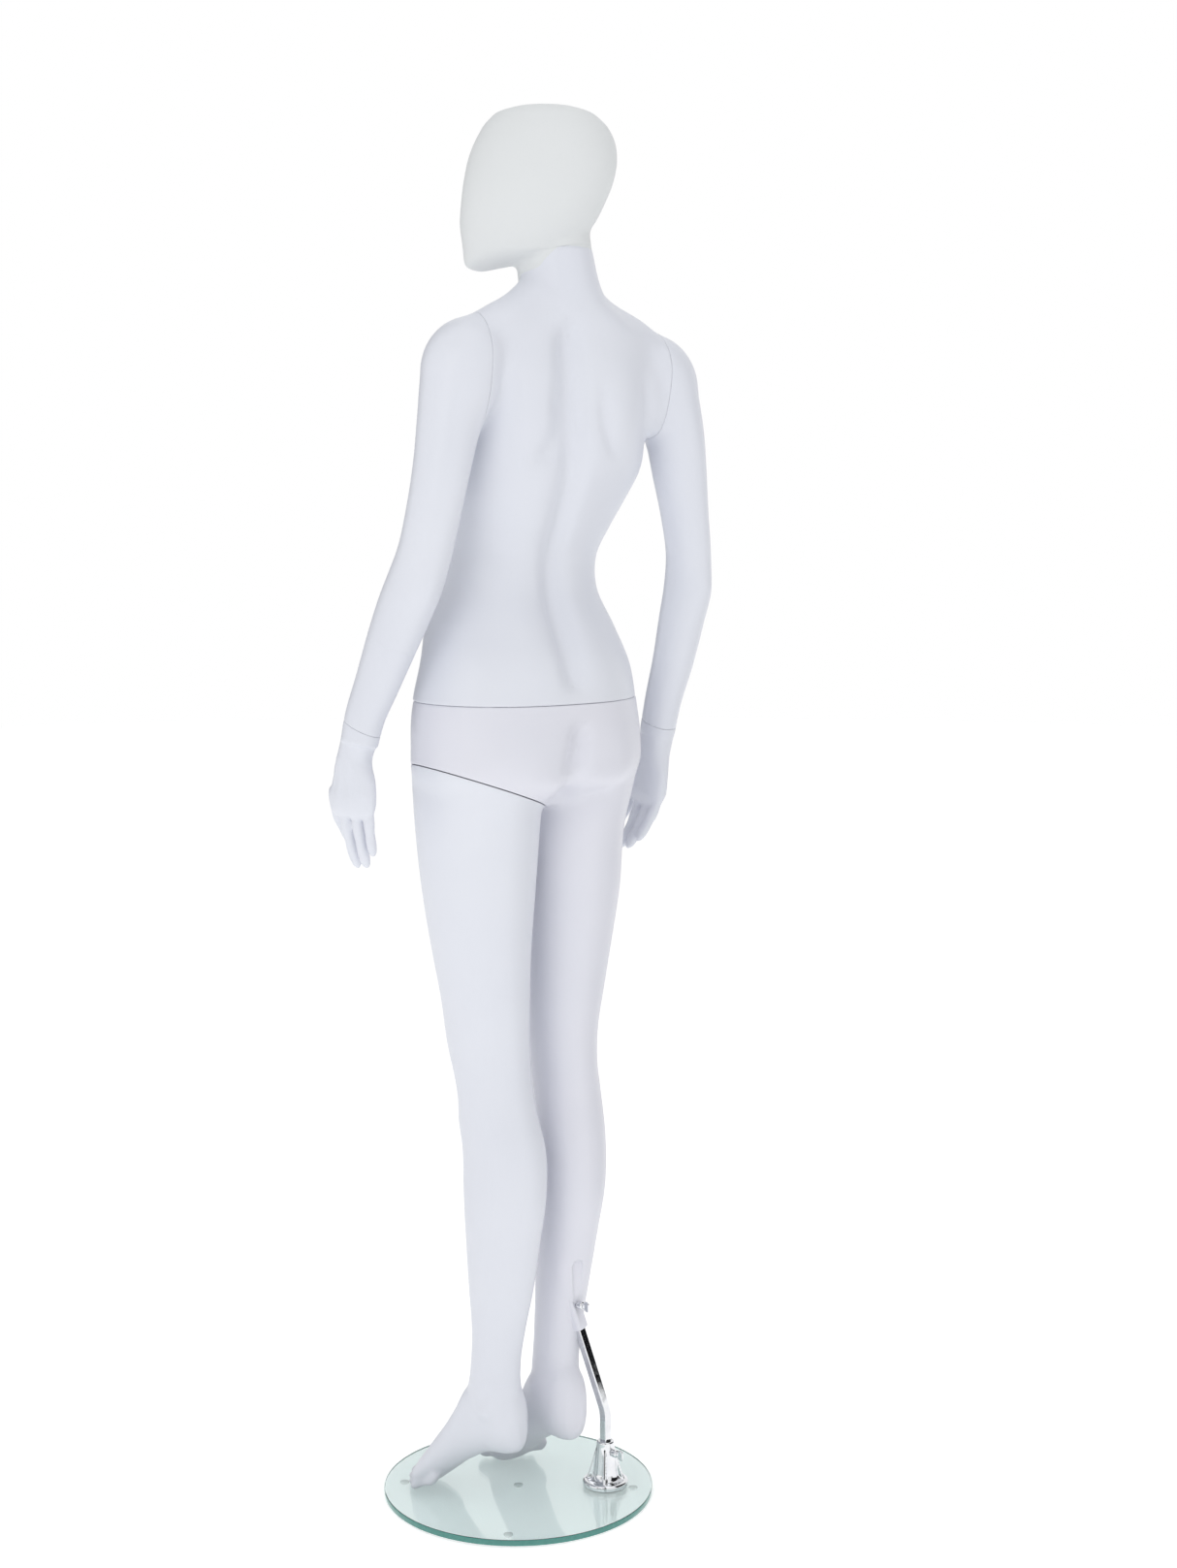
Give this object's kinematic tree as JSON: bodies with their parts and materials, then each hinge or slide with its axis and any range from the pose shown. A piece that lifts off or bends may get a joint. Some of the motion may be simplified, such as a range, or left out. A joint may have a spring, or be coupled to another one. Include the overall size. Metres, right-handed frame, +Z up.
{
  "type": "full body mannequin",
  "caption": "Full body standing display mannequin with an egg head, detachable arms, hands, torso and leg, on a round glass base with a bent calf rod.",
  "frame": {"origin": "on the floor, under the centre of the round glass base", "axes": "+Z up; the figure faces -Y and its left side is +X"},
  "size_m": [0.4977, 0.35, 1.759],
  "materials": {
    "body_satin": "satin bluish white moulded shell",
    "head_matte": "matte neutral white moulded shell",
    "chrome": "polished chrome plate",
    "zinc": "zinc plated steel",
    "glass": "clear float glass with a green edge",
    "clear_rubber": "clear soft bumper"
  },
  "bodies": {
    "base": {"glass_disc": "glass", "glass_pad_1": "clear_rubber", "glass_pad_2": "clear_rubber", "glass_pad_3": "clear_rubber", "glass_pad_4": "clear_rubber", "flange": "chrome", "flange_gasket": "clear_rubber", "flange_bolt": "zinc", "glass_pad_5": "clear_rubber"},
    "flange_screw": {"flange_screw": "chrome"},
    "rod": {"calf_rod": "chrome"},
    "lower_body": {"pelvis_right_leg": "body_satin", "left_leg": "body_satin", "calf_socket": "zinc", "left_hip_socket": "zinc", "left_hip_peg": "zinc", "waist_socket": "zinc"},
    "calf_screw": {"calf_clamp_screw": "chrome"},
    "torso": {"torso": "body_satin", "waist_peg": "zinc", "neck_socket": "zinc", "left_shoulder_socket": "zinc", "right_shoulder_socket": "zinc"},
    "head": {"head": "head_matte", "neck_peg": "zinc"},
    "left_arm": {"left_arm": "body_satin", "left_shoulder_peg": "zinc", "left_wrist_socket": "zinc"},
    "left_hand": {"left_hand": "body_satin", "left_wrist_peg": "zinc"},
    "right_arm": {"right_arm": "body_satin", "right_shoulder_peg": "zinc", "right_wrist_socket": "zinc"},
    "right_hand": {"right_hand": "body_satin", "right_wrist_peg": "zinc"}
  },
  "joints": [
    {"name": "rod_lift", "type": "slide", "parent": "base", "child": "rod", "axis": [0, 0, 1], "range_m": [0, 0.045]},
    {"name": "flange_screw_turn", "type": "hinge", "parent": "base", "child": "flange_screw", "pos_m": [-0.08, 0.081, 0.0575], "axis": [-0.0872, 0.9962, 0], "range_deg": [0, 720]},
    {"name": "body_lift", "type": "slide", "parent": "rod", "child": "lower_body", "axis": [0.2535, -0.1368, 0.9576], "range_m": [0, 0.09]},
    {"name": "calf_screw_turn", "type": "hinge", "parent": "lower_body", "child": "calf_screw", "pos_m": [-0.03988, 0.05935, 0.26156], "axis": [-0.0872, 0.9962, 0], "range_deg": [0, 720]},
    {"name": "torso_lift", "type": "slide", "parent": "lower_body", "child": "torso", "axis": [-0.018, 0, 0.9998], "range_m": [0, 0.06]},
    {"name": "head_turn", "type": "hinge", "parent": "torso", "child": "head", "pos_m": [-0.018, 0.055, 1.583], "axis": [0.0776, -0.2327, 0.9695], "range_deg": [-90, 30]},
    {"name": "left_arm_swing", "type": "hinge", "parent": "torso", "child": "left_arm", "pos_m": [0.10802, 0.05012, 1.45612], "axis": [-0.9927, 0.1043, -0.061], "range_deg": [-20, 90]},
    {"name": "right_arm_swing", "type": "hinge", "parent": "torso", "child": "right_arm", "pos_m": [-0.15602, 0.07788, 1.43988], "axis": [-0.9927, 0.1043, -0.061], "range_deg": [-20, 90]},
    {"name": "left_hand_turn", "type": "hinge", "parent": "left_arm", "child": "left_hand", "pos_m": [0.2252, -0.0167, 1.019], "axis": [-0.2455, 0.3364, 0.9092], "range_deg": [-80, 80]},
    {"name": "right_hand_turn", "type": "hinge", "parent": "right_arm", "child": "right_hand", "pos_m": [-0.2055, 0.0438, 0.999], "axis": [0.0189, -0.3303, -0.9437], "range_deg": [-15, 80]}
  ]
}
